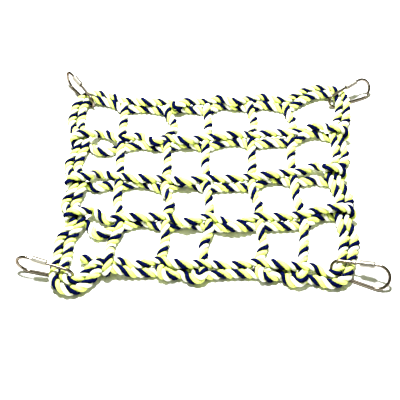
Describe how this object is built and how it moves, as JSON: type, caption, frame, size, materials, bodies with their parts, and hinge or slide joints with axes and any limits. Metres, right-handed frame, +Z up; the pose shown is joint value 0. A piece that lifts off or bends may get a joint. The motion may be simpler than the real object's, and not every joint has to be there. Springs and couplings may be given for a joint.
{
  "type": "climbing net",
  "caption": "Small rope climbing net of doubled border and cross ropes and woven single ropes, with a pear-shaped screw link at each corner to hang it up.",
  "frame": {"origin": "middle of the footprint of the net with its links, on the surface it lies on", "axes": "+X along the long side of the net, +Y away from the viewer across the net, +Z up out of the surface it lies on"},
  "size_m": [0.4151, 0.3331, 0.0295],
  "materials": {
    "rope": "soft three-strand laid rope: one white, one light yellow and one navy strand",
    "steel_wire": "polished",
    "steel_sleeve": "satin"
  },
  "bodies": {
    "net_near": {"border_outer_near": "rope", "border_inner_near": "rope", "row2_rope": "rope", "row3_rope": "rope", "weave1_near": "rope", "weave23_near": "rope", "weave45_near": "rope"},
    "net_far": {"border_outer_far": "rope", "border_inner_far": "rope", "row1_rope": "rope", "weave1_far": "rope", "weave2_far": "rope", "weave3_far": "rope", "weave4_far": "rope", "weave5_far": "rope"},
    "quick_link_far_left": {"link_far_left": "steel_wire"},
    "nut_far_left": {"sleeve_far_left": "steel_sleeve"},
    "quick_link_far_right": {"link_far_right": "steel_wire"},
    "nut_far_right": {"sleeve_far_right": "steel_sleeve"},
    "quick_link_near_left": {"link_near_left": "steel_wire"},
    "nut_near_left": {"sleeve_near_left": "steel_sleeve"},
    "quick_link_near_right": {"link_near_right": "steel_wire"},
    "nut_near_right": {"sleeve_near_right": "steel_sleeve"}
  },
  "joints": [
    {"name": "net_fold", "type": "hinge", "parent": "net_near", "child": "net_far", "pos_m": [-0.0049, 0.0247, 0.014], "axis": [0.9992, 0.0389, 0], "range_deg": [0, 135]},
    {"name": "swivel_far_left", "type": "hinge", "parent": "net_far", "child": "quick_link_far_left", "pos_m": [-0.16143, 0.1304, 0], "axis": [0, 0, 1], "range_deg": [-15, 14]},
    {"name": "screw_far_left", "type": "slide", "parent": "quick_link_far_left", "child": "nut_far_left", "axis": [0.6104, -0.7599, -0.2235], "range_m": [0, 0.011]},
    {"name": "swivel_far_right", "type": "hinge", "parent": "net_far", "child": "quick_link_far_right", "pos_m": [0.16584, 0.12786, 0], "axis": [0, 0, 1], "range_deg": [-30, 20]},
    {"name": "screw_far_right", "type": "slide", "parent": "quick_link_far_right", "child": "nut_far_right", "axis": [-0.8493, -0.4912, -0.1936], "range_m": [0, 0.011]},
    {"name": "swivel_near_left", "type": "hinge", "parent": "net_near", "child": "quick_link_near_left", "pos_m": [-0.16253, -0.14094, 0], "axis": [0, 0, 1], "range_deg": [-2, 30]},
    {"name": "screw_near_left", "type": "slide", "parent": "quick_link_near_left", "child": "nut_near_left", "axis": [0.9534, -0.2026, -0.2236], "range_m": [0, 0.011]},
    {"name": "swivel_near_right", "type": "hinge", "parent": "net_near", "child": "quick_link_near_right", "pos_m": [0.13791, -0.13815, 0], "axis": [0, 0, 1], "range_deg": [-30, 10]},
    {"name": "screw_near_right", "type": "slide", "parent": "quick_link_near_right", "child": "nut_near_right", "axis": [-0.9464, 0.2707, -0.1762], "range_m": [0, 0.011]}
  ]
}
